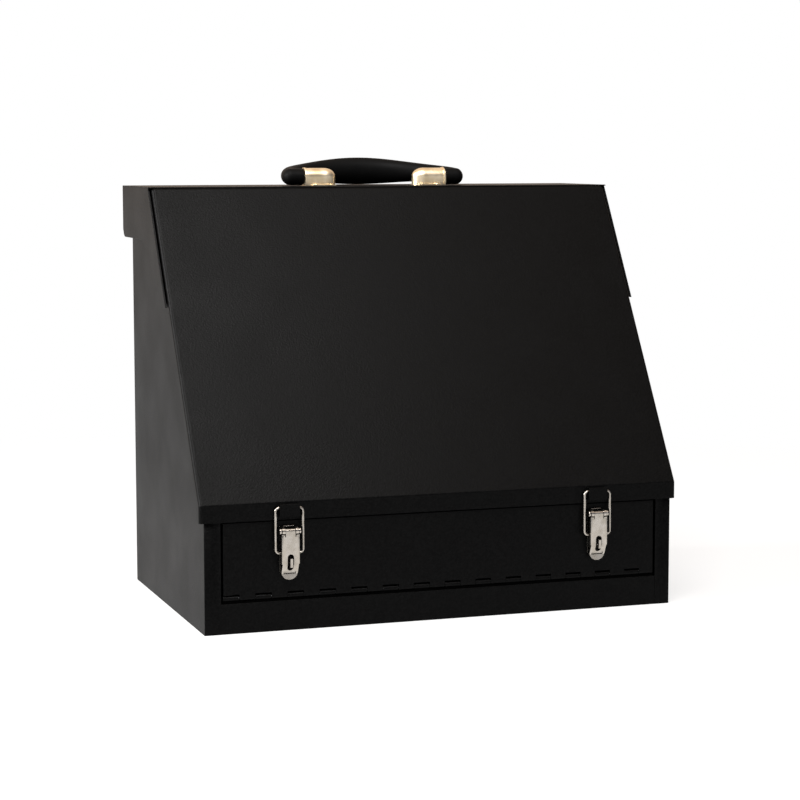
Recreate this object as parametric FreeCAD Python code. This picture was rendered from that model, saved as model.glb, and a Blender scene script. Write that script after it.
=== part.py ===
import os
from math import atan2, cos, degrees, hypot, pi, sin

import FreeCAD
import Part

# Driving sizes in millimetres. The front of the box faces minus Y.
case_width = 571.5
case_depth = 355.0
box_height = 497.0
sheet = 1.5
stile_width = 19.05
rail_height = 36.7
lip_bottom = 127.4
lip_top = 147.4
lip_proud = 2.5
top_setback = 218.5
rear_overhang = 10.0
lid_side_room = 4.25
lid_flange_depth = 12.0
flange_notch = 6.5
plate_gap = 1.8
plate_thick = 2.2
plate_setback = 4.0
plate_front_z = 359.0
plate_tip = 14.0
plate_knee = 36.0
plate_corner = 10.0
skirt_height = 63.5
bend = 4.0
top_bend = 5.0
edge_bend = 1.2
hood_bend = 1.35
seam_gap = 0.3
plate_return_gap = 0.75
match = 0.01

# Rim, seal and trays inside the case
rim_flange = 14.0
seal_width = 10.0
seal_thick = 4.8
seal_gap = 0.2
top_room = 6.5
header_depth = 12.0
header_stop = 14.0
header_rise = 0.3
tray_sheet = 1.2
tray_lip = 25.0
middle_tray_z = 160.0
middle_tray_y = 95.0
upper_tray_z = 300.0
upper_tray_y = 190.0

# Door and its continuous hinge
door_sheet = 1.2
door_side_gap = 2.0
door_top_gap = 1.0
door_flange = 10.0
door_flange_start = 8.0
door_pitches = 14
knuckle_radius = 3.0
knuckle_gap = 0.5
pin_radius = 1.25
running_fit = 0.05
leaf_thick = 1.2
door_leaf_height = 24.0

# Rear lid hinge
lid_barrel_radius = 3.5
lid_pin_radius = 1.5
lid_hinge_length = 520.0
lid_hinge_knuckles = 13
lid_leaf_height = 28.0
lid_hinge_drop = 1.0
rivet_radius = 3.5
rivet_head = 1.5
rivet_dome = 1.3
rivet_shank = 0.5
hinge_rivets = 7

# Draw latches
latch_inset = 97.25
latch_base_half = 10.2
latch_base_bottom = 65.0
latch_base_corner = 4.0
latch_base_top = 121.0
latch_top_half = 6.2
latch_sheet = 1.2
lever_half = 10.3
lever_pivot_z = 115.0
lever_pivot_out = 8.4
lever_barrel_radius = 3.2
lever_barrel_half = 5.6
lever_pin_radius = 1.5
lever_bottom = 59.5
lever_bend_z = 66.5
lever_set_in = 5.5
lever_kick = 0.6
lever_tip_radius = 9.0
lever_low_half = 9.5
lever_shoulder_z = 109.0
lever_flange_bottom = 78.0
lever_flange_depth = 6.6
lug_inner = 6.1
lug_outer = 9.6
lug_radius = 4.0
slot_top = 89.0
slot_bottom = 70.0
slot_half = 3.6
tab_half = 1.5
tab_bottom = 74.5
tab_top = 84.5
tab_reach = 3.8
tab_eye_radius = 1.5
tab_eye_inset = 2.4
bail_radius = 1.5
bail_half = 16.0
bail_corner = 4.2
bail_foot_z = 90.0
bail_foot_out = 6.2
bail_foot_end = 8.2
bail_bar_z = 141.2
catch_half = 11.75
catch_bottom = 129.0
catch_top = 145.6
catch_web_bottom = 131.5
catch_gap = 4.3
catch_leaf = 1.3
catch_edge = 0.55
bar_seat = 0.2
latch_rivet_radius = 2.8
latch_rivet_head = 1.2
pin_head_radius = 3.4
pin_head_gap = 0.4
pin_head_thick = 2.4

# Handle
handle_setback = 43.3
handle_axis_up = 10.9
handle_span = 107.5
handle_bow = 68.0
grip_end_radius = 10.3
grip_mid_high = 17.0
grip_mid_wide = 13.0
grip_taper = 4.7
grip_side_gap = 0.7
grip_rest_gap = 0.4
grip_sections = 17
bracket_inner = 50.5
bracket_outer = 91.5
bracket_radius = 10.7
bracket_sheet = 1.5
foot_width = 7.0
foot_inner = 54.0
foot_outer = 84.0
handle_pin_radius = 4.0
handle_pin_depth = 26.0
bracket_rivet_radius = 2.45
bracket_rivet_head = 1.05
bracket_rivet_inset = 5.25

# Places that follow from the sizes
half_width = case_width / 2
latch_x = half_width - latch_inset
lever_face = lever_pivot_out + lever_barrel_radius
latch_reach = lever_face + max(lever_kick - lever_set_in, tab_reach)
front_y = (latch_reach - case_depth - rear_overhang) / 2
back_y = front_y + case_depth
lip_y = front_y - lip_proud
top_y = front_y + top_setback
run = top_y - lip_y
rise = box_height - lip_top
slope = hypot(run, rise)
rim_depth = sheet + seal_gap + seal_thick
case_top = box_height - sheet - top_room
lid_half = half_width + lid_side_room + sheet
hood_half = lid_half + plate_gap + plate_thick
hood_rear = back_y + rear_overhang
skirt_bottom = box_height - skirt_height
inner_half = half_width - sheet
inner_back = back_y - sheet
opening_half = half_width - stile_width
door_half = opening_half - door_side_gap
door_top = lip_bottom - door_top_gap
door_axis_y = front_y + knuckle_radius
door_axis_z = rail_height + knuckle_gap + knuckle_radius
lid_axis_y = back_y + rear_overhang - sheet - knuckle_gap - lid_barrel_radius
lid_axis_z = skirt_bottom + lid_hinge_drop
handle_y = top_y + handle_setback
handle_z = box_height + handle_axis_up
bar_out = lip_proud + latch_sheet + bar_seat + bail_radius


def slope_y(z, depth):
    return lip_y + (z - lip_top) * run / rise + depth * slope / rise


def slope_z(y, depth):
    return lip_top + (y - lip_y - depth * slope / rise) * rise / run


def box(x0, x1, y0, y1, z0, z1):
    return Part.makeBox(x1 - x0, y1 - y0, z1 - z0, FreeCAD.Vector(x0, y0, z0))


def prism(points, x0, x1):
    corners = [FreeCAD.Vector(x0, y, z) for y, z in points]
    face = Part.Face(Part.makePolygon(corners + corners[:1]))
    return face.extrude(FreeCAD.Vector(x1 - x0, 0, 0))


def rod(y, z, radius, x0, x1):
    return Part.makeCylinder(radius, x1 - x0, FreeCAD.Vector(x0, y, z), FreeCAD.Vector(1, 0, 0))


def joined(shapes):
    return shapes[0].multiFuse(shapes[1:]).removeSplitter()


def mirrored(shape):
    return shape.mirror(FreeCAD.Vector(0, 0, 0), FreeCAD.Vector(1, 0, 0))


def rounded(shape, radius, chosen):
    edges = [edge for edge in shape.Edges if chosen(edge)]
    return shape.makeFillet(radius, edges)


def along_x(edge, y, z):
    ends = [vertex.Point for vertex in edge.Vertexes]
    return len(ends) == 2 and all(hypot(p.y - y, p.z - z) < match for p in ends)


def rivet(x, y, z, head, radius, grip):
    bulge = radius * rivet_dome
    dome = Part.makeSphere(bulge, FreeCAD.Vector(x, y, z + head - bulge))
    cap = dome.common(Part.makeCylinder(radius, head, FreeCAD.Vector(x, y, z)))
    shank = Part.makeCylinder(radius * rivet_shank, grip, FreeCAD.Vector(x, y, z - grip))
    return joined([cap, shank])


def front_rivet(x, y, z, head, radius, grip, outward):
    shape = rivet(0, 0, 0, head, radius, grip)
    shape.rotate(FreeCAD.Vector(0, 0, 0), FreeCAD.Vector(1, 0, 0), -90 * outward)
    shape.translate(FreeCAD.Vector(x, y, z))
    return shape


def rivet_hole(shape, x, y, z, radius, reach):
    start = FreeCAD.Vector(x, y - reach, z)
    shank = radius * rivet_shank
    return shape.cut(Part.makeCylinder(shank, 2 * reach, start, FreeCAD.Vector(0, 1, 0)))


# Side panels: one sheet each, with the front stile and the sloped rim bent inward
def side_panel():
    wall = prism(
        [
            (front_y, 0),
            (front_y, slope_z(front_y, rim_depth)),
            (slope_y(case_top, rim_depth), case_top),
            (back_y, case_top),
            (back_y, 0),
        ],
        -half_width,
        -inner_half,
    )
    stile_top = slope_z(front_y, rim_depth)
    stile = box(-inner_half, -opening_half, front_y, front_y + sheet, 0, stile_top)
    behind = front_y + sheet
    rim = prism(
        [
            (behind, slope_z(behind, rim_depth)),
            (slope_y(case_top, rim_depth), case_top),
            (slope_y(case_top, rim_depth + sheet), case_top),
            (behind, slope_z(behind, rim_depth + sheet)),
        ],
        -inner_half,
        -half_width + rim_flange,
    )
    panel = joined([wall, stile, rim])
    return rounded(
        panel,
        edge_bend,
        lambda e: e.CenterOfMass.x < -half_width + match
        and abs(e.CenterOfMass.y - front_y) < match
        and e.BoundBox.ZLength > stile_top / 2,
    )


# Bottom pan: the floor and the front rail that is bent up from it
def bottom_pan():
    floor = box(-inner_half, inner_half, front_y + sheet, inner_back, 0, sheet)
    rail_half = opening_half - seam_gap
    rail = box(-rail_half, rail_half, front_y, front_y + sheet, 0, rail_height)
    return joined([floor, rail])


# Back panel with an inward flange along its top
def back_panel():
    wall = box(-inner_half, inner_half, inner_back, back_y, 0, case_top)
    flange = box(
        -inner_half + rim_flange,
        inner_half - rim_flange,
        inner_back - rim_flange,
        inner_back,
        case_top - sheet,
        case_top,
    )
    panel = joined([wall, flange])
    for x in hinge_rivet_places():
        panel = rivet_hole(panel, x, back_y, hinge_rivet_z(), rivet_radius, 2 * sheet)
    return panel


# Header above the door: carries the front seal and stops the door from going inward
def front_header():
    half = half_width - rim_flange
    y0 = front_y + sheet
    y1 = y0 + header_depth
    bottom = door_top + door_top_gap + header_rise
    leg = prism(
        [
            (y0, bottom),
            (y0, slope_z(y0, rim_depth)),
            (y0 + sheet, slope_z(y0 + sheet, rim_depth)),
            (y0 + sheet, bottom),
        ],
        -half,
        half,
    )
    rim = prism(
        [
            (y0 + sheet, slope_z(y0 + sheet, rim_depth)),
            (y1, slope_z(y1, rim_depth)),
            (y1, slope_z(y1, rim_depth + sheet)),
            (y0 + sheet, slope_z(y0 + sheet, rim_depth + sheet)),
        ],
        -half,
        half,
    )
    web = box(-half, half, y0, y1, bottom, bottom + sheet)
    stop = box(-half, half, y1 - sheet, y1, bottom - header_stop, bottom)
    return joined([leg, rim, web, stop])


# Rim seal: two strips on the sloped rims and one on the header
def rim_seal():
    y0 = front_y + 2 * sheet
    y1 = y0 + seal_width
    upper = rim_depth - seal_thick
    side = prism(
        [
            (y0, slope_z(y0, rim_depth)),
            (slope_y(case_top, rim_depth), case_top),
            (slope_y(case_top, upper), case_top),
            (y0, slope_z(y0, upper)),
        ],
        -half_width + rim_flange - seal_width,
        -half_width + rim_flange,
    )
    front = prism(
        [
            (y0, slope_z(y0, rim_depth)),
            (y1, slope_z(y1, rim_depth)),
            (y1, slope_z(y1, upper)),
            (y0, slope_z(y0, upper)),
        ],
        -half_width + rim_flange,
        half_width - rim_flange,
    )
    return joined([side, front, mirrored(side)])


# Stepped trays, spot-welded between the sides and the back
def tray(z, setback):
    y = front_y + setback
    shelf = box(-inner_half, inner_half, y, inner_back, z, z + tray_sheet)
    lip = box(-inner_half, inner_half, y, y + tray_sheet, z, z + tray_lip)
    return joined([shelf, lip])


# Knuckles of a continuous hinge, alternating between two leaves
def knuckles(x0, x1, count, first):
    width = (x1 - x0) / count
    gap = knuckle_gap / 2
    return [(x0 + i * width + gap, x0 + (i + 1) * width - gap) for i in range(first, count, 2)]


def door_knuckles(first):
    return knuckles(-door_half, door_half, 2 * door_pitches, first)


# Fixed leaf of the door hinge, behind the rail
def door_hinge_case_leaf():
    y0 = front_y + sheet
    low = rail_height - door_leaf_height
    parts = [box(-door_half, door_half, y0, y0 + leaf_thick, low, rail_height)]
    for x0, x1 in door_knuckles(0):
        parts.append(box(x0, x1, y0, y0 + leaf_thick, rail_height, door_axis_z))
        parts.append(rod(door_axis_y, door_axis_z, knuckle_radius, x0, x1))
    bore = rod(door_axis_y, door_axis_z, pin_radius, -half_width, half_width)
    return joined(parts).cut(bore)


def door_hinge_pin():
    return rod(door_axis_y, door_axis_z, pin_radius, -door_half, door_half)


# Drop-down door: its lower edge is rolled into knuckles, its other edges are turned in
def door_panel():
    notch_top = door_axis_z + knuckle_radius + knuckle_gap
    inner = front_y + door_sheet
    face = box(-door_half, door_half, front_y, inner, notch_top, door_top)
    depth = front_y + door_sheet + door_flange
    low = notch_top + door_flange_start
    top = box(-door_half, door_half, inner, depth, door_top - door_sheet, door_top)
    left = box(-door_half, -door_half + door_sheet, inner, depth, low, door_top)
    parts = [face, top, left, mirrored(left)]
    for x0, x1 in door_knuckles(1):
        parts.append(box(x0, x1, front_y, inner, door_axis_z, notch_top))
        parts.append(rod(door_axis_y, door_axis_z, knuckle_radius, x0, x1))
    bore_radius = pin_radius + running_fit
    bore = rod(door_axis_y, door_axis_z, bore_radius, -half_width, half_width)
    panel = joined(parts).cut(bore)
    for x in (-latch_x, latch_x):
        for z in latch_rivet_heights():
            panel = rivet_hole(panel, x, front_y, z, latch_rivet_radius, 2 * sheet)
    return panel


# Lid hood: top plate with the rear skirt bent down from it
def lid_hood():
    top = box(-hood_half, hood_half, top_y, hood_rear, box_height - sheet, box_height)
    skirt = box(-hood_half, hood_half, hood_rear - sheet, hood_rear, skirt_bottom, box_height)
    hood = joined([top, skirt])
    hood = rounded(
        hood,
        hood_bend,
        lambda e: along_x(e, hood_rear, box_height) or along_x(e, top_y, box_height),
    )
    for side in (-1, 1):
        edge = side * hood_half
        tip = box(
            min(edge, edge - side * plate_corner),
            max(edge, edge - side * plate_corner),
            hood_rear - sheet,
            hood_rear,
            skirt_bottom,
            skirt_bottom + plate_corner,
        )
        centre = FreeCAD.Vector(
            edge - side * plate_corner, hood_rear - sheet, skirt_bottom + plate_corner
        )
        keep = Part.makeCylinder(plate_corner, sheet, centre, FreeCAD.Vector(0, 1, 0))
        hood = hood.cut(tip.cut(keep))
    return hood


# Lid side plates: proud of the lid flange, with a return along the lower edge
def lid_side_plate():
    inside = -hood_half + plate_thick
    top = box_height - sheet
    rear = hood_rear - sheet
    tip_y = slope_y(plate_front_z, plate_setback)
    tail = (tip_y + plate_tip, plate_front_z)
    knee = (top_y + plate_knee, skirt_bottom)
    heel = (rear - plate_corner, skirt_bottom)
    plate = prism(
        [
            (slope_y(top, plate_setback), top),
            (rear, top),
            (rear, skirt_bottom),
            knee,
            tail,
            (tip_y, plate_front_z),
        ],
        -hood_half,
        inside,
    )
    plate = rounded(plate, plate_corner, lambda e: along_x(e, rear, skirt_bottom))
    begin_y = slope_y(plate_front_z, lid_flange_depth + 2 * bend)
    share = (knee[0] - begin_y) / (knee[0] - tail[0])
    begin = (begin_y, knee[1] + (tail[1] - knee[1]) * share)
    lower = [begin, knee, heel]
    upper = [(y, z + sheet) for y, z in reversed(lower)]
    return_sheet = prism(lower + upper, inside, -half_width - plate_return_gap)
    return joined([plate, return_sheet])


# Lid front panel: sloped sheet with side flanges, a front lip and a flange under the top plate
def lid_front_panel():
    top = box_height - sheet
    back = lid_flange_depth
    blank = prism(
        [
            (lip_y, lip_bottom),
            (lip_y, lip_top),
            (slope_y(top, 0), top),
            (slope_y(top, back), top),
            (slope_y(lip_top, back), lip_top),
            (lip_y + back, lip_bottom),
        ],
        -lid_half,
        lid_half,
    )
    blank = rounded(blank, bend, lambda e: along_x(e, lip_y, lip_top))
    blank = rounded(blank, top_bend, lambda e: along_x(e, slope_y(top, 0), top))
    blank = rounded(blank, bend, lambda e: on_front_side(e.CenterOfMass))
    under = top - sheet
    inner = prism(
        [
            (lip_y + sheet, lip_bottom - back),
            (lip_y + sheet, slope_z(lip_y + sheet, sheet)),
            (slope_y(under, sheet), under),
            (slope_y(under, 3 * back), under),
            (lip_y + 3 * back, lip_bottom - back),
        ],
        -lid_half + sheet,
        lid_half - sheet,
    )
    inner = rounded(inner, top_bend - sheet, lambda e: along_x(e, slope_y(under, sheet), under))
    low = plate_front_z - flange_notch
    notch = prism(
        [
            (slope_y(low, bend), low),
            (slope_y(plate_front_z, bend), plate_front_z),
            (slope_y(plate_front_z, 2 * back), plate_front_z),
            (slope_y(low, 2 * back), low),
        ],
        -lid_half,
        lid_half,
    )
    return blank.cut(inner).cut(notch)


def on_front_side(point):
    depth = min((point.y - slope_y(point.z, 0)) * rise / slope, point.y - lip_y)
    return abs(abs(point.x) - lid_half) < match and abs(depth) < sheet


def hinge_rivet_places():
    pitch = lid_hinge_length / hinge_rivets
    return [(i + 0.5) * pitch - lid_hinge_length / 2 for i in range(hinge_rivets)]


def hinge_rivet_z():
    return lid_axis_z - lid_leaf_height / 2 - lid_barrel_radius / 2


def lid_knuckles(first):
    half = lid_hinge_length / 2
    return knuckles(-half, half, lid_hinge_knuckles, first)


# Lid hinge, fixed leaf: riveted to the outside of the back panel
def lid_hinge_case_leaf():
    half = lid_hinge_length / 2
    y1 = back_y + leaf_thick
    clear = lid_axis_z - lid_barrel_radius - knuckle_gap
    parts = [box(-half, half, back_y, y1, lid_axis_z - lid_leaf_height, clear)]
    for x0, x1 in lid_knuckles(0):
        parts.append(box(x0, x1, back_y, y1, clear, lid_axis_z))
        parts.append(rod(lid_axis_y, lid_axis_z, lid_barrel_radius, x0, x1))
    leaf = joined(parts).cut(rod(lid_axis_y, lid_axis_z, lid_pin_radius, -half, half))
    for x in hinge_rivet_places():
        leaf = rivet_hole(leaf, x, back_y, hinge_rivet_z(), rivet_radius, 2 * leaf_thick)
    return leaf


def lid_hinge_pin():
    half = lid_hinge_length / 2
    return rod(lid_axis_y, lid_axis_z, lid_pin_radius, -half, half)


# Lid hinge, moving leaf: spot-welded inside the rear skirt
def lid_hinge_lid_leaf():
    half = lid_hinge_length / 2
    y1 = hood_rear - sheet
    y0 = y1 - leaf_thick
    clear = lid_axis_z + lid_barrel_radius + knuckle_gap
    parts = [box(-half, half, y0, y1, clear, lid_axis_z + lid_leaf_height)]
    for x0, x1 in lid_knuckles(1):
        parts.append(box(x0, x1, y0, y1, lid_axis_z, clear))
        parts.append(rod(lid_axis_y, lid_axis_z, lid_barrel_radius, x0, x1))
    bore = rod(lid_axis_y, lid_axis_z, lid_pin_radius + running_fit, -half, half)
    return joined(parts).cut(bore)


def lid_hinge_rivets():
    y = back_y + leaf_thick
    grip = leaf_thick + sheet
    return Part.makeCompound(
        [
            front_rivet(x, y, hinge_rivet_z(), rivet_head, rivet_radius, grip, 1)
            for x in hinge_rivet_places()
        ]
    )


def latch_rivet_heights():
    low = latch_base_bottom + 2 * latch_rivet_radius
    return [low, (tab_top + lever_pivot_z) / 2]


# Latch base: plate on the door with two rolled lugs for the lever pin and a padlock tab
def latch_base():
    out = front_y - latch_sheet
    shoulder = lever_pivot_z + lug_radius
    plate = box(-latch_base_half, latch_base_half, out, front_y, latch_base_bottom, shoulder)
    plate = rounded(
        plate,
        latch_base_corner,
        lambda e: abs(e.CenterOfMass.z - latch_base_bottom) < match
        and e.BoundBox.YLength > latch_sheet / 2
        and e.BoundBox.XLength < match,
    )
    top = box(-latch_top_half, latch_top_half, out, front_y, shoulder, latch_base_top)
    roll = rod(out, latch_base_top - latch_sheet, latch_sheet, -latch_top_half, latch_top_half)
    zone = box(-latch_top_half, latch_top_half, out - latch_sheet, front_y, 0, latch_base_top)
    axis_y = front_y - lever_pivot_out
    lug = rod(axis_y, lever_pivot_z, lug_radius, lug_inner, lug_outer)
    web = box(lug_inner, lug_outer, axis_y, front_y, lever_pivot_z - lug_radius, shoulder)
    tab_end = front_y - lever_face - tab_reach
    tab = box(-tab_half, tab_half, tab_end, out, tab_bottom, tab_top)
    eye_z = (tab_bottom + tab_top) / 2
    eye = rod(tab_end + tab_eye_inset, eye_z, tab_eye_radius, -tab_half, tab_half)
    base = joined([plate, top, roll.common(zone), lug, web, mirrored(lug), mirrored(web), tab.cut(eye)])
    base = base.cut(rod(axis_y, lever_pivot_z, lever_pin_radius, -lug_outer, lug_outer))
    for z in latch_rivet_heights():
        base = rivet_hole(base, 0, front_y, z, latch_rivet_radius, 2 * latch_sheet)
    return base


# Latch pin with a head upset at each end
def latch_pin():
    axis_y = front_y - lever_pivot_out
    start = lug_outer + pin_head_gap
    end = start + pin_head_thick
    shank = rod(axis_y, lever_pivot_z, lever_pin_radius, -end, end)
    head = rod(axis_y, lever_pivot_z, pin_head_radius, start, end)
    return joined([shank, head, mirrored(head)])


# Latch lever: rolled barrel, narrow neck, channel with bail holes, padlock slot and a set-in end
def latch_lever():
    axis_y = front_y - lever_pivot_out
    face_y = front_y - lever_face
    back = face_y + latch_sheet
    barrel = rod(axis_y, lever_pivot_z, lever_barrel_radius, -lever_barrel_half, lever_barrel_half)
    neck = box(-lever_barrel_half, lever_barrel_half, face_y, back, lever_shoulder_z, lever_pivot_z)
    plate = box(-lever_half, lever_half, face_y, back, lever_flange_bottom, lever_shoulder_z)
    low_face = face_y + lever_set_in
    low_back = back + lever_set_in
    low_plate = prism(
        [
            (face_y, lever_flange_bottom),
            (low_face, lever_bend_z),
            (low_back, lever_bend_z),
            (back, lever_flange_bottom),
        ],
        -lever_low_half,
        lever_low_half,
    )
    tongue = prism(
        [
            (low_face, lever_bend_z),
            (low_face - lever_kick, lever_bottom),
            (low_back - lever_kick, lever_bottom),
            (low_back, lever_bend_z),
        ],
        -lever_low_half,
        lever_low_half,
    )
    flange = box(
        -lever_half,
        -lever_half + latch_sheet,
        back,
        back + lever_flange_depth,
        lever_flange_bottom,
        lever_shoulder_z,
    )
    lever = joined([barrel, neck, plate, low_plate, tongue, flange, mirrored(flange)])
    corners = []
    reach = lever_kick + latch_sheet + lever_set_in
    round_z = lever_bottom + lever_tip_radius
    for side in (-1, 1):
        edge = side * lever_low_half
        centre = edge - side * lever_tip_radius
        tip = box(min(edge, centre), max(edge, centre), face_y - reach, low_back, lever_bottom, round_z)
        keep = Part.makeCylinder(
            lever_tip_radius,
            2 * reach,
            FreeCAD.Vector(centre, face_y - reach, round_z),
            FreeCAD.Vector(0, 1, 0),
        )
        corners.append(tip.cut(keep))
    low = slot_bottom + slot_half
    high = slot_top - slot_half
    slot = box(-slot_half, slot_half, face_y, low_back, low, high)
    through = low_back - face_y
    ends = [
        Part.makeCylinder(slot_half, through, FreeCAD.Vector(0, face_y, z), FreeCAD.Vector(0, 1, 0))
        for z in (low, high)
    ]
    bores = [
        rod(axis_y, lever_pivot_z, lever_pin_radius + running_fit, -lever_half, lever_half),
        rod(front_y - bail_foot_out, bail_foot_z, bail_radius + running_fit, -lever_half, lever_half),
    ]
    return lever.cut(slot.multiFuse(ends)).cut(corners).cut(bores)


# Wire bail: feet turned into the lever, top bar seated in the catch
def latch_bail():
    height = hypot(bail_bar_z - bail_foot_z, bail_foot_out - bar_out)
    lean = degrees(atan2(bail_foot_out - bar_out, bail_bar_z - bail_foot_z))
    bow = bail_corner * (1 - cos(pi / 4))
    corner = bail_corner
    half = bail_half

    def point(x, z):
        return FreeCAD.Vector(x, 0, z)

    path = [
        Part.LineSegment(point(-bail_foot_end, 0), point(-half + corner, 0)).toShape(),
        Part.Arc(point(-half + corner, 0), point(-half + bow, bow), point(-half, corner)).toShape(),
        Part.LineSegment(point(-half, corner), point(-half, height - corner)).toShape(),
        Part.Arc(
            point(-half, height - corner), point(-half + bow, height - bow), point(-half + corner, height)
        ).toShape(),
        Part.LineSegment(point(-half + corner, height), point(half - corner, height)).toShape(),
        Part.Arc(
            point(half - corner, height), point(half - bow, height - bow), point(half, height - corner)
        ).toShape(),
        Part.LineSegment(point(half, height - corner), point(half, corner)).toShape(),
        Part.Arc(point(half, corner), point(half - bow, bow), point(half - corner, 0)).toShape(),
        Part.LineSegment(point(half - corner, 0), point(bail_foot_end, 0)).toShape(),
    ]
    ring = Part.Circle(point(-bail_foot_end, 0), FreeCAD.Vector(1, 0, 0), bail_radius).toShape()
    wire = Part.Wire(path).makePipeShell([Part.Wire([ring])], True, False)
    wire.rotate(FreeCAD.Vector(0, 0, 0), FreeCAD.Vector(1, 0, 0), -lean)
    wire.translate(FreeCAD.Vector(0, front_y - bail_foot_out, bail_foot_z))
    return wire


# Catch welded to the lid lip: a hook that takes the bail's top bar
def latch_catch():
    y0 = lip_y
    y1 = y0 - latch_sheet
    y2 = y1 - catch_gap
    y3 = y2 - catch_leaf
    floor = bail_bar_z - bail_radius - bar_seat
    hook = prism(
        [
            (y0, catch_bottom),
            (y0, catch_top),
            (y1, catch_top),
            (y1, floor),
            (y2, floor),
            (y2, catch_top),
            (y3, catch_top),
            (y3, catch_web_bottom),
            (y1, catch_web_bottom),
            (y1, catch_bottom),
        ],
        -catch_half,
        catch_half,
    )
    return rounded(
        hook,
        catch_edge,
        lambda e: along_x(e, y3, catch_top) or along_x(e, y3, catch_web_bottom),
    )


def latch_rivets():
    y = front_y - latch_sheet
    grip = latch_sheet + door_sheet
    heads = []
    for x in (-latch_x, latch_x):
        for z in latch_rivet_heights():
            heads.append(front_rivet(x, y, z, latch_rivet_head, latch_rivet_radius, grip, -1))
    return Part.makeCompound(heads)


# Pressed handle bracket: half-round shell with a domed inner end, a drilled outer end and two feet
def handle_bracket():
    def shell(radius, x0, x1, low):
        straight = rod(handle_y, handle_z, radius, x0 + radius, x1)
        dome = Part.makeSphere(radius, FreeCAD.Vector(x0 + radius, handle_y, handle_z))
        legs = box(x0 + radius, x1, handle_y - radius, handle_y + radius, low, handle_z)
        below = Part.makeCylinder(radius, handle_z - low, FreeCAD.Vector(x0 + radius, handle_y, low))
        return joined([straight, dome, legs, below])

    outside = shell(bracket_radius, bracket_inner, bracket_outer, box_height)
    outside = outside.cut(box(0, half_width, -case_depth, case_depth, 0, box_height))
    thin = bracket_sheet
    inside = shell(bracket_radius - thin, bracket_inner + thin, bracket_outer - thin, box_height)
    reach = bracket_radius + foot_width
    foot = box(foot_inner, foot_outer, handle_y - reach, handle_y + reach, box_height, box_height + thin)
    bracket = joined([outside, foot]).cut(inside)
    bore_radius = handle_pin_radius + running_fit
    bracket = bracket.cut(rod(handle_y, handle_z, bore_radius, foot_outer, half_width))
    for x, y in bracket_rivet_places():
        start = FreeCAD.Vector(x, y, box_height - thin)
        shank = Part.makeCylinder(bracket_rivet_radius * rivet_shank, 3 * thin, start)
        bracket = bracket.cut(shank)
    return bracket


def bracket_rivet_places():
    reach = bracket_radius + foot_width / 2
    return [
        (x, handle_y + side * reach)
        for x in (foot_inner + bracket_rivet_inset, foot_outer - bracket_rivet_inset)
        for side in (-1, 1)
    ]


def bracket_rivets():
    z = box_height + bracket_sheet
    heads = [
        rivet(x, y, z, bracket_rivet_head, bracket_rivet_radius, bracket_sheet)
        for x, y in bracket_rivet_places()
    ]
    return Part.makeCompound(heads + [mirrored(head) for head in heads])


# Grip: a bow that is thickest in the middle, resting on the top plate
def handle_grip():
    rings = []
    for i in range(grip_sections):
        turn = pi * i / (grip_sections - 1)
        share = sin(turn) ** grip_taper
        wide = grip_end_radius + (grip_mid_wide - grip_end_radius) * share
        high = grip_end_radius + (grip_mid_high - grip_end_radius) * share
        centre = FreeCAD.Vector(handle_span * cos(turn), handle_bow * sin(turn), 0)
        outward = FreeCAD.Vector(handle_bow * cos(turn), handle_span * sin(turn), 0)
        outward.normalize()
        up = FreeCAD.Vector(0, 0, 1)
        major, first, second = high, up, outward
        minor = wide
        if minor >= major:
            major, minor = minor + match, high
            first, second = outward, up
        curve = Part.Ellipse(centre + first * major, centre + second * minor, centre)
        rings.append(Part.Wire([curve.toShape()]))
    bow = Part.makeLoft(rings, True, False)
    knobs = [
        Part.makeSphere(grip_end_radius + running_fit, FreeCAD.Vector(side * handle_span, 0, 0))
        for side in (-1, 1)
    ]
    shoulder = bracket_outer + grip_side_gap
    boss = rod(0, 0, grip_end_radius, shoulder, handle_span)
    grip = bow.multiFuse(knobs + [boss, mirrored(boss)])
    grip = grip.cut(rod(0, 0, handle_pin_radius, -handle_span, handle_span))
    return placed_on_handle(grip)


def placed_on_handle(shape):
    lift = grip_mid_high + grip_rest_gap - handle_axis_up
    shape.rotate(FreeCAD.Vector(0, 0, 0), FreeCAD.Vector(1, 0, 0), degrees(atan2(lift, handle_bow)))
    shape.translate(FreeCAD.Vector(0, handle_y, handle_z))
    return shape


def handle_pins():
    inner = bracket_outer - handle_pin_depth
    pin = rod(handle_y, handle_z, handle_pin_radius, inner, handle_span)
    return Part.makeCompound([pin, mirrored(pin)])


def shifted(shape, x):
    moved = shape.copy()
    moved.translate(FreeCAD.Vector(x, 0, 0))
    return moved


def hood_with_holes():
    return lid_hood().cut(bracket_rivets())


left_side = side_panel()
left_plate = lid_side_plate()
bracket_right = handle_bracket()
base = latch_base()
pin = latch_pin()
lever = latch_lever()
bail = latch_bail()
catch = latch_catch()

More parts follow.
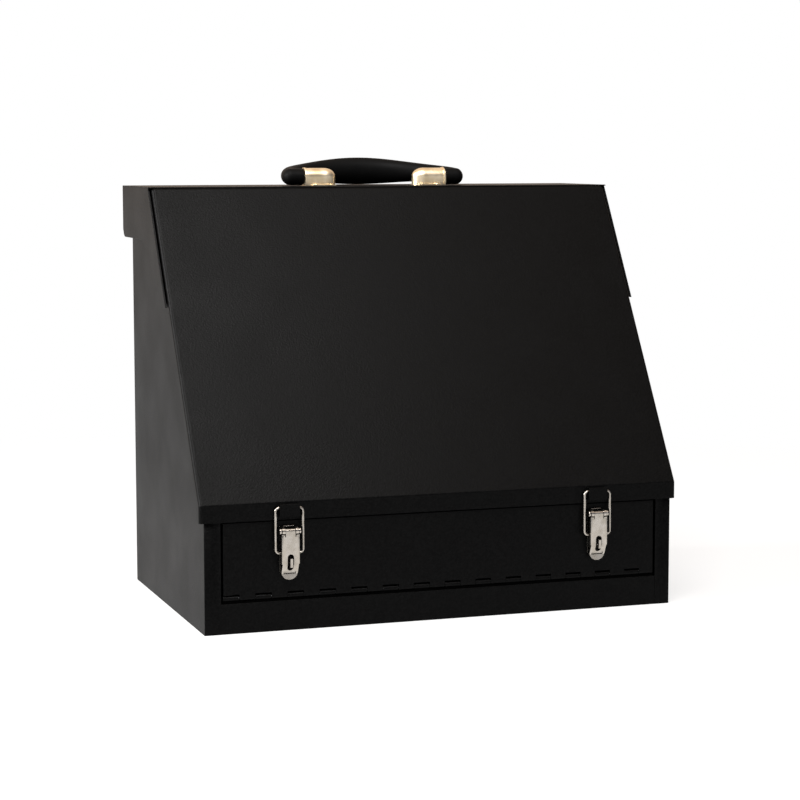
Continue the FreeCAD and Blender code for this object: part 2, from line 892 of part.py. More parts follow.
pieces = {
    "left_side_panel": left_side,
    "right_side_panel": mirrored(left_side),
    "bottom_pan": bottom_pan(),
    "back_panel": back_panel(),
    "front_header": front_header(),
    "rim_seal": rim_seal(),
    "middle_tray": tray(middle_tray_z, middle_tray_y),
    "upper_tray": tray(upper_tray_z, upper_tray_y),
    "door_hinge_case_leaf": door_hinge_case_leaf(),
    "door_hinge_pin": door_hinge_pin(),
    "lid_hinge_case_leaf": lid_hinge_case_leaf(),
    "lid_hinge_pin": lid_hinge_pin(),
    "lid_hinge_rivets": lid_hinge_rivets(),
    "lid_hood": hood_with_holes(),
    "left_lid_side_plate": left_plate,
    "right_lid_side_plate": mirrored(left_plate),
    "lid_front_panel": lid_front_panel(),
    "lid_hinge_lid_leaf": lid_hinge_lid_leaf(),
    "left_handle_bracket": mirrored(bracket_right),
    "right_handle_bracket": bracket_right,
    "bracket_rivets": bracket_rivets(),
    "left_catch": shifted(catch, -latch_x),
    "right_catch": shifted(catch, latch_x),
    "door_panel": door_panel(),
    "left_latch_base": shifted(base, -latch_x),
    "right_latch_base": shifted(base, latch_x),
    "latch_rivets": latch_rivets(),
    "left_latch_pin": shifted(pin, -latch_x),
    "right_latch_pin": shifted(pin, latch_x),
    "left_latch_lever": shifted(lever, -latch_x),
    "right_latch_lever": shifted(lever, latch_x),
    "left_latch_bail": shifted(bail, -latch_x),
    "right_latch_bail": shifted(bail, latch_x),
    "handle_grip": handle_grip(),
    "handle_pins": handle_pins(),
}

os.makedirs("parts", exist_ok=True)
for name, shape in pieces.items():
    shape.exportStep("parts/" + name + ".step")
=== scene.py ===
# Portable steel tool box: a folded sheet case with a sloped lid hinged at the rear, a
# drop-down front door, two wire-bail draw latches and a folding handle.
import math

import bpy
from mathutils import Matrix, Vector


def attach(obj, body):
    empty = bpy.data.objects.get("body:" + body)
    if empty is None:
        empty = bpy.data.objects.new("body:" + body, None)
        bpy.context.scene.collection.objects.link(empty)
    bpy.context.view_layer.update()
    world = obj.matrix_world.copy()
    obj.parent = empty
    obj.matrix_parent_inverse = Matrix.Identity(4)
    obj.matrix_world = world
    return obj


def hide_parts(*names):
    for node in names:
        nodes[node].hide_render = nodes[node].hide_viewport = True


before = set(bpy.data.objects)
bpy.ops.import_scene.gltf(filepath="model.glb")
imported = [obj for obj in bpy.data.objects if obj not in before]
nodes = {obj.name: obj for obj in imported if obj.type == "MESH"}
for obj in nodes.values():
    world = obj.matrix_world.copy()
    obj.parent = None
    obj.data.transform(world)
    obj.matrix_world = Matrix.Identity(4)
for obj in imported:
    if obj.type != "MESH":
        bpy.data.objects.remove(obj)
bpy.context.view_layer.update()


# Case shell: two side panels, a bottom pan, a back panel and the header over the door,
# each sheared from 1.5 mm mild steel, folded on a press brake and spot-welded to the
# next. The welded shell is powder coated, so every sheared edge is a little rounded.
MM = 0.001
near = 0.05 * MM
same_point = 0.001 * MM
flat_within = math.radians(0.3)
sharp_from = math.radians(40)


def linear(hex_colour):
    channels = [int(hex_colour[i:i + 2], 16) / 255 for i in (1, 3, 5)]
    return [c / 12.92 if c <= 0.04045 else ((c + 0.055) / 1.055) ** 2.4 for c in channels] + [1.0]


def add_node(tree, kind, inputs=None, **settings):
    node = tree.nodes.new(kind)
    for name, value in settings.items():
        setattr(node, name, value)
    for socket, value in (inputs or {}).items():
        if isinstance(value, bpy.types.NodeSocket):
            tree.links.new(value, node.inputs[socket])
        else:
            node.inputs[socket].default_value = value
    return node


def new_material(name):
    material = bpy.data.materials.new(name)
    material.use_nodes = True
    material.node_tree.nodes.clear()
    return material, material.node_tree


def hold(piece):
    bpy.ops.object.select_all(action="DESELECT")
    piece.select_set(True)
    bpy.context.view_layer.objects.active = piece


def merged_copy(node):
    piece = bpy.data.objects.new(node + "_finished", nodes[node].data.copy())
    bpy.context.scene.collection.objects.link(piece)
    hold(piece)
    bpy.ops.object.mode_set(mode="EDIT")
    bpy.ops.mesh.select_all(action="SELECT")
    bpy.ops.mesh.remove_doubles(threshold=same_point)
    bpy.ops.mesh.dissolve_limited(angle_limit=flat_within)
    bpy.ops.object.mode_set(mode="OBJECT")
    return piece


def round_edges(piece, width, steps=2):
    hold(piece)
    bpy.ops.object.shade_smooth()
    edge = piece.modifiers.new("rounded_edge", "BEVEL")
    edge.width = width
    edge.segments = steps
    edge.limit_method = "ANGLE"
    edge.angle_limit = sharp_from
    flat = piece.modifiers.new("flat_faces_stay_flat", "WEIGHTED_NORMAL")
    flat.weight = 100
    bpy.ops.object.modifier_apply(modifier=edge.name)
    bpy.ops.object.modifier_apply(modifier=flat.name)
    return piece


def fit(piece, body, finish, slot, *stands_for):
    piece.data.materials.clear()
    piece.data.materials.append(finish)
    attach(piece, body)
    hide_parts(*stands_for)


# Fine-texture polyester powder coat, sprayed and baked: the melted grains leave a close
# pebble that scatters the light, so flat sheet looks softly speckled and almost matt.
# The real pebble is about 0.4 mm across, and it is drawn at 2 mm so that it shows.
powder_coat, tree = new_material("fine_texture_powder_coat")
place = add_node(tree, "ShaderNodeTexCoord").outputs["Object"]
pebble = add_node(tree, "ShaderNodeTexNoise", {"Vector": place, "Scale": 1 / (2.0 * MM), "Detail": 3.0})
drift = add_node(tree, "ShaderNodeTexNoise", {"Vector": place, "Scale": 1 / (70 * MM), "Detail": 2.0})
tint = add_node(tree, "ShaderNodeValToRGB", {"Fac": pebble.outputs["Fac"]})
tint.color_ramp.elements[0].position = 0.35
tint.color_ramp.elements[0].color = linear("#000000")
tint.color_ramp.elements[1].position = 0.65
tint.color_ramp.elements[1].color = linear("#050505")
gloss = add_node(
    tree, "ShaderNodeMapRange",
    {"Value": drift.outputs["Fac"], "From Min": 0.3, "From Max": 0.7, "To Min": 0.42, "To Max": 0.48},
)
grain = add_node(
    tree, "ShaderNodeBump", {"Height": pebble.outputs["Fac"], "Strength": 0.65, "Distance": 0.4 * MM},
)
surface = add_node(
    tree, "ShaderNodeBsdfPrincipled",
    {
        "Base Color": tint.outputs["Color"],
        "Roughness": gloss.outputs["Result"],
        "Normal": grain.outputs["Normal"],
        "IOR": 1.5,
        "Specular IOR Level": 0.07,
    },
)
add_node(tree, "ShaderNodeOutputMaterial", {"Surface": surface.outputs["BSDF"]})

sheared_edge = 0.3 * MM
for node in ("left_side_panel", "right_side_panel", "back_panel", "front_header"):
    fit(round_edges(merged_copy(node), sheared_edge), "case", powder_coat, "black_powder_coat", node)


def select_points(piece, wanted):
    bpy.ops.object.mode_set(mode="EDIT")
    bpy.ops.mesh.select_mode(type="VERT")
    bpy.ops.mesh.select_all(action="DESELECT")
    bpy.ops.object.mode_set(mode="OBJECT")
    for point in piece.data.vertices:
        point.select = wanted(point.co)
    bpy.ops.object.mode_set(mode="EDIT")


# The rail's top edge is dressed back after folding, which opens the dark line under the
# door's hinge. Its left end is welded and ground flush, and its right end keeps a seam.
rail_top = 36.7 * MM
rail_dressed = 2.2 * MM
rail_half = 266.4 * MM
rail_weld = 0.7 * MM
rail_inside = -173.0 * MM
pan = merged_copy("bottom_pan")
select_points(pan, lambda co: co.y < rail_inside and abs(co.x + rail_half) < near)
bpy.ops.transform.translate(value=(-rail_weld, 0, 0))
select_points(pan, lambda co: co.y < rail_inside and abs(co.z - rail_top) < near)
bpy.ops.transform.translate(value=(0, 0, -rail_dressed))
bpy.ops.object.mode_set(mode="OBJECT")
fit(round_edges(pan, sheared_edge), "case", powder_coat, "black_powder_coat", "bottom_pan")


# Trays: two stepped shelves of 1.2 mm sheet with a turned-up front lip, spot-welded
# between the sides and the back before the case is coated.
for node in ("middle_tray", "upper_tray"):
    fit(round_edges(merged_copy(node), sheared_edge), "case", powder_coat, "black_powder_coat", node)


# Rim seal: a strip of closed-cell foam rubber, stuck along both sloped rims and the
# header, that the lid presses flat. Its corners are soft and its skin is open and dull.
foam_rubber, tree = new_material("closed_cell_foam_rubber")
place = add_node(tree, "ShaderNodeTexCoord").outputs["Object"]
cells = add_node(tree, "ShaderNodeTexVoronoi", {"Vector": place, "Scale": 1 / (0.9 * MM)})
skin = add_node(tree, "ShaderNodeValToRGB", {"Fac": cells.outputs["Distance"]})
skin.color_ramp.elements[0].color = linear("#101010")
skin.color_ramp.elements[1].color = linear("#242423")
pores = add_node(
    tree, "ShaderNodeBump", {"Height": cells.outputs["Distance"], "Strength": 0.6, "Distance": 0.3 * MM},
)
surface = add_node(
    tree, "ShaderNodeBsdfPrincipled",
    {
        "Base Color": skin.outputs["Color"],
        "Normal": pores.outputs["Normal"],
        "Roughness": 0.85,
        "IOR": 1.5,
        "Specular IOR Level": 0.3,
    },
)
add_node(tree, "ShaderNodeOutputMaterial", {"Surface": surface.outputs["BSDF"]})

seal_round = 1.1 * MM
fit(round_edges(merged_copy("rim_seal"), seal_round, 3), "case", foam_rubber, "seal_rubber", "rim_seal")


# Door: one sheet whose lower edge is rolled into hinge knuckles and whose other edges
# are turned in. The fixed hinge leaf is welded behind the front rail, and a drawn steel
# pin runs through both rows of knuckles.
zinc_steel, tree = new_material("bright_zinc_plate")
place = add_node(tree, "ShaderNodeTexCoord").outputs["Object"]
spangle = add_node(tree, "ShaderNodeTexNoise", {"Vector": place, "Scale": 1 / (2.5 * MM), "Detail": 3.0})
bloom = add_node(tree, "ShaderNodeValToRGB", {"Fac": spangle.outputs["Fac"]})
bloom.color_ramp.elements[0].position = 0.35
bloom.color_ramp.elements[0].color = linear("#a9adb1")
bloom.color_ramp.elements[1].position = 0.65
bloom.color_ramp.elements[1].color = linear("#c9ccce")
gloss = add_node(
    tree, "ShaderNodeMapRange", {"Value": spangle.outputs["Fac"], "To Min": 0.24, "To Max": 0.42},
)
surface = add_node(
    tree, "ShaderNodeBsdfPrincipled",
    {"Base Color": bloom.outputs["Color"], "Roughness": gloss.outputs["Result"], "Metallic": 1.0},
)
add_node(tree, "ShaderNodeOutputMaterial", {"Surface": surface.outputs["BSDF"]})

# Painted shade: the leaf's face in the narrow slot behind the knuckles gets a near-black, dead-matt
# material with faint blotches, standing in for the shade that falls in that slot.
slot_painted_shade, tree = new_material("slot_painted_shade")
place = add_node(tree, "ShaderNodeTexCoord").outputs["Object"]
blotch = add_node(tree, "ShaderNodeTexNoise", {"Vector": place, "Scale": 1 / (6 * MM), "Detail": 3.0})
slot_shade_mottle = add_node(tree, "ShaderNodeValToRGB", {"Fac": blotch.outputs["Fac"]})
slot_shade_mottle.color_ramp.elements[0].color = linear("#000000")
slot_shade_mottle.color_ramp.elements[1].color = linear("#040404")
surface = add_node(
    tree, "ShaderNodeBsdfPrincipled",
    {"Base Color": slot_shade_mottle.outputs["Color"], "Roughness": 0.95, "IOR": 1.5, "Specular IOR Level": 0.01},
)
add_node(tree, "ShaderNodeOutputMaterial", {"Surface": surface.outputs["BSDF"]})

rolled_edge = 0.2 * MM
knuckle_bottom = 37.2 * MM
slot_height = 0.6 * MM
leaf = round_edges(merged_copy("door_hinge_case_leaf"), rolled_edge)
fit(leaf, "case", powder_coat, "black_powder_coat", "door_hinge_case_leaf")
# Painted shade: the leaf's faces in the slot under the knuckles take the near-black slot material.
leaf.data.materials.append(slot_painted_shade)
for face in leaf.data.polygons:
    face.material_index = 1 if face.center.z < knuckle_bottom + slot_height else 0

# The pin's ends are set back in the knuckles, so they don't show at the door's corners.
pin_set_back = 4.0 * MM
door_half = 264.7 * MM
corner_room = 1.0 * MM
pin = merged_copy("door_hinge_pin")
for side in (-1, 1):
    select_points(pin, lambda co: side * co.x > door_half - corner_room)
    bpy.ops.transform.translate(value=(-side * pin_set_back, 0, 0))
    bpy.ops.object.mode_set(mode="OBJECT")
fit(round_edges(pin, rolled_edge), "case", zinc_steel, "zinc_steel", "door_hinge_pin")

# The door's notches are filed a little wider than the knuckles, and its side folds are
# closed a little tighter than the opening, which gives the dark lines round it.
notch_top = 43.7 * MM
notch_eased = 1.2 * MM
fold_depth = 2.5 * MM
fold_closed = 0.7 * MM
fold_radius = 1.0 * MM
door_front = -174.8 * MM
door_inside = -173.0 * MM
door = merged_copy("door_panel")
select_points(
    door,
    lambda co: abs(co.z - notch_top) < near and co.y < door_inside
    and abs(co.x) < door_half - corner_room,
)
bpy.ops.transform.translate(value=(0, 0, notch_eased))
for side in (-1, 1):
    select_points(door, lambda co: side * co.x > door_half - fold_depth)
    bpy.ops.transform.translate(value=(-side * fold_closed, 0, 0))
select_points(
    door,
    lambda co: abs(co.y - door_front) < near and abs(abs(co.x) - door_half + fold_closed) < near,
)
bpy.ops.mesh.select_mode(type="EDGE")
bpy.ops.mesh.bevel(offset=fold_radius, segments=4, clamp_overlap=False)
bpy.ops.object.mode_set(mode="OBJECT")
fit(round_edges(door, rolled_edge), "door", powder_coat, "black_powder_coat", "door_panel")


# Lid: a hood folded from one sheet, two side plates with a return along the lower edge,
# and the sloped front panel with its side flanges and front lip. They are welded
# together and coated as one.
for node in ("lid_hood", "left_lid_side_plate", "right_lid_side_plate", "lid_front_panel"):
    fit(round_edges(merged_copy(node), sheared_edge), "lid", powder_coat, "black_powder_coat", node)


# Lid hinge: a continuous hinge on a steel pin. Its fixed leaf is riveted to the back
# panel and its moving leaf is welded inside the hood's rear skirt.
for node, body in (("lid_hinge_case_leaf", "case"), ("lid_hinge_lid_leaf", "lid")):
    fit(round_edges(merged_copy(node), rolled_edge), body, powder_coat, "black_powder_coat", node)
for node in ("lid_hinge_pin", "lid_hinge_rivets"):
    fit(round_edges(merged_copy(node), rolled_edge), "case", zinc_steel, "zinc_steel", node)


# Latch bases and pins: each base is stamped from 1.2 mm steel, with two curled lugs for
# the lever pin and a padlock tab, nickel plated and riveted to the door. The pin is
# upset at both ends.

# Bright nickel over stamped steel: the thin plate keeps the rolling marks, so it looks
# warm, a little streaked and only half mirror-like. The marks are drawn 2 mm apart.
nickel_plate, tree = new_material("nickel_plated_steel")
place = add_node(tree, "ShaderNodeTexCoord").outputs["Object"]
patch = add_node(tree, "ShaderNodeTexNoise", {"Vector": place, "Scale": 1 / (7 * MM), "Detail": 3.0})
warm = add_node(tree, "ShaderNodeValToRGB", {"Fac": patch.outputs["Fac"]})
warm.color_ramp.elements[0].position = 0.32
warm.color_ramp.elements[0].color = linear("#aea79c")
warm.color_ramp.elements[1].position = 0.68
warm.color_ramp.elements[1].color = linear("#beb8b0")
# Painted shade: an ambient-occlusion mask darkens the nickel colour towards near-black in the slot
# behind the lever, between the lugs and under the pin heads, standing in for the shade that falls there.
corner = add_node(tree, "ShaderNodeAmbientOcclusion", {"Distance": 12 * MM}, samples=16)
painted_recess_shade = add_node(
    tree, "ShaderNodeMapRange", {"Value": corner.outputs["AO"], "From Min": 0.45, "From Max": 0.92},
)
metal = add_node(
    tree, "ShaderNodeMix",
    {"Factor": painted_recess_shade.outputs["Result"], "A": linear("#0c0a08"), "B": warm.outputs["Color"]},
    data_type="RGBA",
)
marks = add_node(tree, "ShaderNodeTexNoise", {"Vector": place, "Scale": 1 / (2 * MM), "Detail": 4.0})
gloss = add_node(
    tree, "ShaderNodeMapRange",
    {"Value": marks.outputs["Fac"], "From Min": 0.3, "From Max": 0.7, "To Min": 0.24, "To Max": 0.31},
)
ripple = add_node(
    tree, "ShaderNodeBump", {"Height": marks.outputs["Fac"], "Strength": 0.03, "Distance": 0.1 * MM},
)
surface = add_node(
    tree, "ShaderNodeBsdfPrincipled",
    {
        "Base Color": metal.outputs["Result"],
        "Roughness": gloss.outputs["Result"],
        "Normal": ripple.outputs["Normal"],
        "Metallic": 1.0,
    },
)
add_node(tree, "ShaderNodeOutputMaterial", {"Surface": surface.outputs["BSDF"]})

stamped_edge = 0.25 * MM
upset_round = 0.6 * MM
for node in ("left_latch_base", "right_latch_base"):
    fit(round_edges(merged_copy(node), stamped_edge), "door", nickel_plate, "nickel_plate", node)
for node in ("left_latch_pin", "right_latch_pin"):
    fit(round_edges(merged_copy(node), upset_round, 3), "door", nickel_plate, "nickel_plate", node)
fit(
    round_edges(merged_copy("latch_rivets"), rolled_edge),
    "door", nickel_plate, "nickel_plate", "latch_rivets",
)


# Latch levers: a stamped channel with a curled barrel at the top, a slot that passes
# over the padlock tab, and a rounded end set in towards the door. Nickel plated.
# A stiffening groove is pressed across the lever where its end turns upright.
latch_centre = 188.5 * MM
groove_low = 66.1 * MM
groove_high = 69.0 * MM
groove_half = 7.2 * MM
groove_depth = 0.9 * MM
shoulder_top = 109.0 * MM
shoulder_raised = 2.2 * MM
shoulder_back = -185.1 * MM
neck_slit = 6.5 * MM
front_facing = -0.8
for side, centre_x in (("left", -latch_centre), ("right", latch_centre)):
    lever = merged_copy(side + "_latch_lever")
    bpy.ops.object.mode_set(mode="EDIT")
    for cut_z in (groove_low, groove_high):
        bpy.ops.mesh.select_all(action="SELECT")
        bpy.ops.mesh.bisect(plane_co=(0, 0, cut_z), plane_no=(0, 0, 1))
    for cut_x in (-neck_slit, -groove_half, groove_half, neck_slit):
        bpy.ops.mesh.select_all(action="SELECT")
        bpy.ops.mesh.bisect(plane_co=(centre_x + cut_x, 0, 0), plane_no=(1, 0, 0))
    bpy.ops.object.mode_set(mode="OBJECT")
    select_points(
        lever,
        lambda co: abs(co.z - shoulder_top) < near and co.y < shoulder_back
        and abs(co.x - centre_x) > neck_slit - near,
    )
    bpy.ops.mesh.extrude_region_move(TRANSFORM_OT_translate={"value": (0, 0, shoulder_raised)})
    bpy.ops.mesh.select_all(action="DESELECT")
    bpy.ops.object.mode_set(mode="OBJECT")
    for face in lever.data.polygons:
        inside = groove_low < face.center.z < groove_high and abs(face.center.x - centre_x) < groove_half
        face.select = inside and face.normal.y < front_facing
    bpy.ops.object.mode_set(mode="EDIT")
    bpy.ops.mesh.select_mode(type="FACE")
    bpy.ops.mesh.extrude_region_move(TRANSFORM_OT_translate={"value": (0, groove_depth, 0)})
    bpy.ops.mesh.select_mode(type="VERT")
    bpy.ops.object.mode_set(mode="OBJECT")
    round_edges(lever, stamped_edge)
    fit(lever, side + "_lever", nickel_plate, "nickel_plate", side + "_latch_lever")


# Latch bails: 3 mm spring wire bent to a rectangle, its two feet sprung into the holes
# in the lever and its top bar lying in the catch. Nickel plated with the lever.
wire_radius = 1.5 * MM
bail_half = 16.0 * MM
bail_bend = 4.2 * MM
bail_foot = Vector((0.0, -181.0 * MM, 90.0 * MM))
bail_foot_end = 8.2 * MM
bail_height = 51.206 * MM
bail_lean = math.radians(0.895)
bend_steps = 6


def draw_wire(stops):
    for (last, last_turn), (stop, turn) in zip(stops, stops[1:]):
        bpy.ops.mesh.extrude_region_move(TRANSFORM_OT_translate={"value": stop - last})
        bpy.ops.transform.rotate(value=turn - last_turn, orient_axis="Y", center_override=stop)


for side, centre_x in (("left", -latch_centre), ("right", latch_centre)):
    centre = bail_foot + Vector((centre_x, 0.0, 0.0))
    inner_x = bail_half - bail_bend
    low, high = bail_bend, bail_height - bail_bend
    corners = ((inner_x, low), (inner_x, high), (-inner_x, high), (-inner_x, low))
    stops = [(centre + Vector((bail_foot_end, 0.0, 0.0)), 0.0)]
    for corner, (x, z) in enumerate(corners):
        for step in range(bend_steps + 1):
            turn = math.radians(90) * (corner + step / bend_steps)
            reach = Vector((x + math.sin(turn) * bail_bend, 0.0, z - math.cos(turn) * bail_bend))
            stops.append((centre + reach, turn))
    stops.append((centre - Vector((bail_foot_end, 0.0, 0.0)), math.radians(360)))
    bpy.ops.object.select_all(action="DESELECT")
    bpy.ops.mesh.primitive_circle_add(
        vertices=20, radius=wire_radius, fill_type="NGON", location=stops[0][0],
        rotation=(0, math.radians(90), 0),
    )
    bail = bpy.context.active_object
    bail.name = side + "_bail_wire"
    bpy.ops.object.transform_apply(location=True, rotation=True, scale=True)
    bpy.ops.object.mode_set(mode="EDIT")
    bpy.ops.mesh.select_all(action="SELECT")
    draw_wire(stops)
    bpy.ops.mesh.select_all(action="SELECT")
    bpy.ops.transform.rotate(value=bail_lean, orient_axis="X", center_override=centre)
    bpy.ops.mesh.remove_doubles(threshold=same_point)
    bpy.ops.mesh.normals_make_consistent(inside=False)
    bpy.ops.object.mode_set(mode="OBJECT")
    round_edges(bail, rolled_edge)
    fit(bail, side + "_bail", nickel_plate, "nickel_plate", side + "_latch_bail")


# Catches: short hooks of folded sheet, welded to the lid's front lip and coated with it.
# The bail's bar drops into the hook.
for node in ("left_catch", "right_catch"):
    fit(round_edges(merged_copy(node), stamped_edge), "lid", powder_coat, "black_powder_coat", node)


# Handle brackets: half-round cups pressed from 1.5 mm steel, with a raised rim at the
# open end and two feet riveted to the top plate. Nickel plated.

# Brass-rich nickel over polished steel: warmer and smoother than the latches, with a soft mirror that
# runs in bands along the cup. Its base colour is also set lighter than the latch nickel, standing in for
# the stronger light that the cups catch: painted light.
lit_champagne_plate, tree = new_material("lit_champagne_nickel_plate")
place = add_node(tree, "ShaderNodeTexCoord").outputs["Object"]
patch = add_node(tree, "ShaderNodeTexNoise", {"Vector": place, "Scale": 1 / (9 * MM), "Detail": 2.0})
warm = add_node(tree, "ShaderNodeValToRGB", {"Fac": patch.outputs["Fac"]})
warm.color_ramp.elements[0].position = 0.35
warm.color_ramp.elements[0].color = linear("#f0dab2")
warm.color_ramp.elements[1].position = 0.65
warm.color_ramp.elements[1].color = linear("#fae8c8")
gloss = add_node(
    tree, "ShaderNodeMapRange",
    {"Value": patch.outputs["Fac"], "From Min": 0.3, "From Max": 0.7, "To Min": 0.3, "To Max": 0.4},
)
surface = add_node(
    tree, "ShaderNodeBsdfPrincipled",
    {"Base Color": warm.outputs["Color"], "Roughness": gloss.outputs["Result"], "Metallic": 1.0},
)
add_node(tree, "ShaderNodeOutputMaterial", {"Surface": surface.outputs["BSDF"]})

bracket_axis = Vector((0.0, 87.0 * MM, 507.9 * MM))
cup_radius = 10.7 * MM
cup_inner = 50.5 * MM
dome_drawn = 1.35
rim_start = 89.2 * MM
rim_rise = 0.7 * MM
end_facing = 0.3
outer_side = 5.0 * MM
for node, side in (("left_handle_bracket", -1), ("right_handle_bracket", 1)):
    bracket = merged_copy(node)
    select_points(
        bracket,
        lambda co: abs(co.x) < cup_inner + cup_radius + near
        and abs(co.y - bracket_axis.y) < cup_radius + near,
    )
    bpy.ops.transform.resize(value=(dome_drawn, 1, 1), center_override=(side * cup_inner, 0, 0))
    bpy.ops.mesh.select_all(action="SELECT")
    bpy.ops.mesh.bisect(plane_co=(side * rim_start, 0, 0), plane_no=(1, 0, 0))
    bpy.ops.mesh.select_all(action="DESELECT")
    bpy.ops.object.mode_set(mode="OBJECT")
    for face in bracket.data.polygons:
        away = Vector((0.0, face.center.y - bracket_axis.y, face.center.z - bracket_axis.z))
        beyond = side * face.center.x > rim_start and abs(face.normal.x) < end_facing
        face.select = beyond and face.normal.dot(away) > outer_side
    bpy.ops.object.mode_set(mode="EDIT")
    bpy.ops.mesh.select_mode(type="FACE")
    bpy.ops.mesh.extrude_region_shrink_fatten(TRANSFORM_OT_shrink_fatten={"value": rim_rise})
    bpy.ops.mesh.select_mode(type="VERT")
    bpy.ops.object.mode_set(mode="OBJECT")
    round_edges(bracket, stamped_edge)
    fit(bracket, "lid", lit_champagne_plate, "nickel_plate", node)
fit(
    round_edges(merged_copy("bracket_rivets"), rolled_edge),
    "lid", lit_champagne_plate, "nickel_plate", "bracket_rivets",
)


# Handle: a bowed grip moulded in black vinyl, thickest in the middle. It runs into a blunt
# round boss at each end, and a steel pin moulded into the boss turns in the bracket.
boss_start = 92.2 * MM
boss_end = 116.2 * MM
boss_radius = 10.3 * MM
boss_round = 7.5 * MM
skin_step = 0.9 * MM
grip = merged_copy("handle_grip")
grip.name = "grip_moulding"
for side in (-1, 1):
    bpy.ops.object.select_all(action="DESELECT")
    bpy.ops.mesh.primitive_cylinder_add(
        vertices=64, radius=boss_radius, depth=boss_end - boss_start, rotation=(0, math.radians(90), 0),
        location=bracket_axis + Vector((side * (boss_start + boss_end) / 2, 0.0, 0.0)),
    )
    boss = bpy.context.active_object
    bpy.ops.object.transform_apply(location=True, rotation=True, scale=True)
    select_points(boss, lambda co: side * co.x > boss_end - near)
    bpy.ops.mesh.select_mode(type="EDGE")
    bpy.ops.mesh.bevel(offset=boss_round, segments=8)
    bpy.ops.object.mode_set(mode="OBJECT")
    hold(grip)
    boss.select_set(True)
    bpy.ops.object.join()
skin = grip.modifiers.new("one_moulding", "REMESH")
skin.mode = "VOXEL"
skin.voxel_size = skin_step
blend = grip.modifiers.new("blended_corners", "SMOOTH")
blend.factor = 0.5
blend.iterations = 8
bpy.ops.object.modifier_apply(modifier=skin.name)
bpy.ops.object.modifier_apply(modifier=blend.name)
bpy.ops.object.shade_smooth()

# Moulded soft vinyl: smooth from the tool with a very fine grain, so it has a low broad
# sheen. The grain is about 0.3 mm, and it is drawn at 1.2 mm so that it shows.
grip_vinyl, tree = new_material("moulded_soft_vinyl")
place = add_node(tree, "ShaderNodeTexCoord").outputs["Object"]
tool_grain = add_node(tree, "ShaderNodeTexVoronoi", {"Vector": place, "Scale": 1 / (1.2 * MM)})
smear = add_node(tree, "ShaderNodeTexNoise", {"Vector": place, "Scale": 1 / (25 * MM), "Detail": 3.0})
gloss = add_node(
    tree, "ShaderNodeMapRange",
    {"Value": smear.outputs["Fac"], "From Min": 0.3, "From Max": 0.7, "To Min": 0.5, "To Max": 0.62},
)
shade = add_node(tree, "ShaderNodeValToRGB", {"Fac": smear.outputs["Fac"]})
shade.color_ramp.elements[0].color = linear("#030303")
shade.color_ramp.elements[1].color = linear("#070707")
dimples = add_node(
    tree, "ShaderNodeBump",
    {"Height": tool_grain.outputs["Distance"], "Strength": 0.15, "Distance": 0.1 * MM},
)
surface = add_node(
    tree, "ShaderNodeBsdfPrincipled",
    {
        "Base Color": shade.outputs["Color"],
        "Roughness": gloss.outputs["Result"],
        "Normal": dimples.outputs["Normal"],
        "IOR": 1.5,
        "Specular IOR Level": 0.06,
    },
)
add_node(tree, "ShaderNodeOutputMaterial", {"Surface": surface.outputs["BSDF"]})
fit(grip, "handle", grip_vinyl, "grip_plastic", "handle_grip")
pins = round_edges(merged_copy("handle_pins"), rolled_edge)
fit(pins, "handle", zinc_steel, "zinc_steel", "handle_pins")


# Studio: a pale floor without a visible end, a surround that is white behind the object,
# nearly as bright overhead and dim towards the front of the room, a large soft lamp over
# the left front and a fill.
bpy.ops.object.select_all(action="DESELECT")
bpy.ops.mesh.primitive_plane_add(size=60.0, location=(0, 0, 0))
floor = bpy.context.active_object
floor.name = "studio_floor"
pale_floor, tree = new_material("pale_floor")
ray = add_node(tree, "ShaderNodeLightPath")
mirrored = add_node(
    tree, "ShaderNodeMath",
    {0: ray.outputs["Is Glossy Ray"], 1: ray.outputs["Is Transmission Ray"]}, operation="MAXIMUM",
)
seen = add_node(
    tree, "ShaderNodeMath",
    {0: ray.outputs["Is Camera Ray"], 1: mirrored.outputs["Value"]}, operation="MAXIMUM",
)
place = add_node(tree, "ShaderNodeTexCoord").outputs["Object"]
reach = add_node(tree, "ShaderNodeVectorMath", {0: place}, operation="LENGTH")
fade = add_node(
    tree, "ShaderNodeMapRange",
    {"Value": reach.outputs["Value"], "From Min": 0.5, "From Max": 1.6, "To Min": 0.7, "To Max": 1.0},
)
share = add_node(
    tree, "ShaderNodeMath", {0: seen.outputs["Value"], 1: fade.outputs["Result"]}, operation="MULTIPLY",
)
matt = add_node(tree, "ShaderNodeBsdfDiffuse", {"Color": linear("#e0e0e0")})
glow = add_node(tree, "ShaderNodeEmission", {"Color": linear("#ffffff"), "Strength": 1.0})
mix = add_node(
    tree, "ShaderNodeMixShader", {0: share.outputs["Value"], 1: matt.outputs[0], 2: glow.outputs[0]},
)
add_node(tree, "ShaderNodeOutputMaterial", {"Surface": mix.outputs[0]})
floor.data.materials.append(pale_floor)

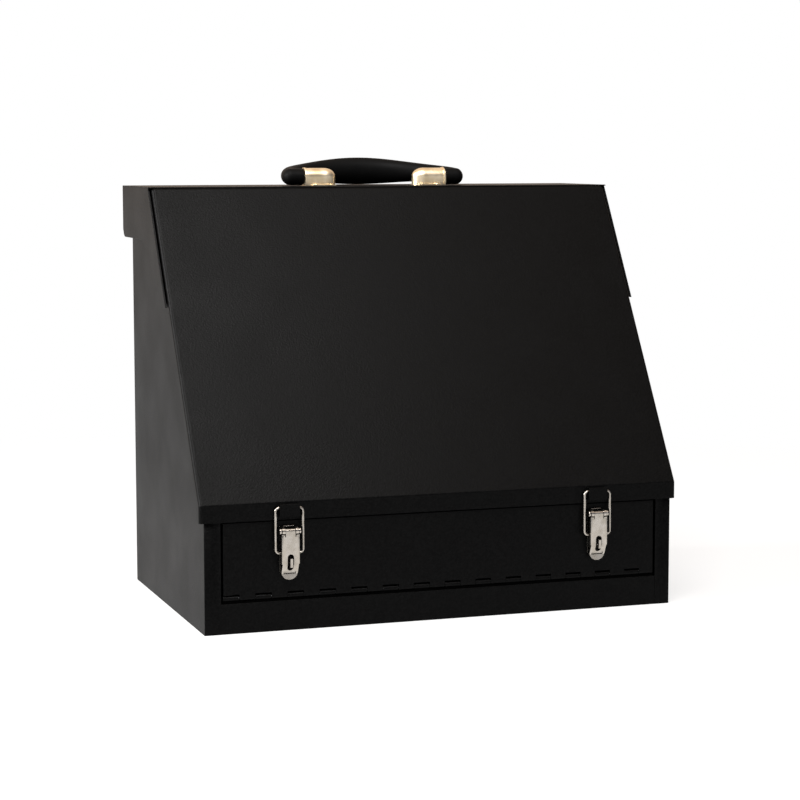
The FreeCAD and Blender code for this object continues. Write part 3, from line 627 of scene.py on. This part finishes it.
world = bpy.data.worlds.new("studio_surround")
bpy.context.scene.world = world
world.use_nodes = True
tree = world.node_tree
tree.nodes.clear()
ray = add_node(tree, "ShaderNodeLightPath")
seen = add_node(
    tree, "ShaderNodeMath",
    {0: ray.outputs["Is Camera Ray"], 1: ray.outputs["Is Transmission Ray"]}, operation="MAXIMUM",
)
place = add_node(tree, "ShaderNodeTexCoord").outputs["Generated"]
way = add_node(tree, "ShaderNodeSeparateXYZ", {0: place})
rearward = add_node(
    tree, "ShaderNodeMapRange", {"Value": way.outputs["Y"], "From Min": -0.2, "From Max": 0.95},
)
overhead = add_node(
    tree, "ShaderNodeMapRange",
    {"Value": way.outputs["Z"], "From Min": 0.45, "From Max": 0.9, "To Max": 0.85},
)
lit = add_node(
    tree, "ShaderNodeMath",
    {0: rearward.outputs["Result"], 1: overhead.outputs["Result"]}, operation="MAXIMUM",
)
room = add_node(tree, "ShaderNodeValToRGB", {"Fac": lit.outputs["Value"]})
room.color_ramp.elements[0].color = linear("#686c78")
room.color_ramp.elements[1].color = linear("#ffe8d4")
paper = add_node(
    tree, "ShaderNodeMix",
    {"Factor": seen.outputs["Value"], "A": room.outputs["Color"], "B": linear("#ffffff")},
    data_type="RGBA",
)
sky = add_node(tree, "ShaderNodeBackground", {"Color": paper.outputs["Result"], "Strength": 1.0})
add_node(tree, "ShaderNodeOutputWorld", {"Surface": sky.outputs["Background"]})

lamp_target = Vector((0.0, -0.05, 0.3))
for name, lamp_place, wide, tall, watts in (
    ("soft_key", Vector((-0.5, -1.4, 2.55)), 1.5, 1.0, 104.0),
    ("left_fill", Vector((-2.6, -0.1, 1.5)), 1.6, 1.6, 150.0),
):
    aim = (lamp_target - lamp_place).to_track_quat("-Z", "Y")
    bpy.ops.object.light_add(type="AREA", location=lamp_place, rotation=aim.to_euler())
    lamp = bpy.context.active_object
    lamp.name = name
    lamp.data.shape = "RECTANGLE"
    lamp.data.size = wide
    lamp.data.size_y = tall
    lamp.data.energy = watts

# Camera: a little above the box's top, turned to its left front corner and tipped down a
# little, as the photograph was taken.
camera_place = Vector((-0.8734, -2.5707, 0.5387))
camera_tip = math.radians(83.662)
camera_roll = math.radians(0.033)
camera_turn = math.radians(-18.864)
bpy.ops.object.camera_add(location=camera_place, rotation=(camera_tip, camera_roll, camera_turn))
camera = bpy.context.active_object
camera.data.lens = 100.64
camera.data.sensor_width = 36.0
bpy.context.scene.camera = camera
bpy.context.scene.view_settings.view_transform = "Standard"
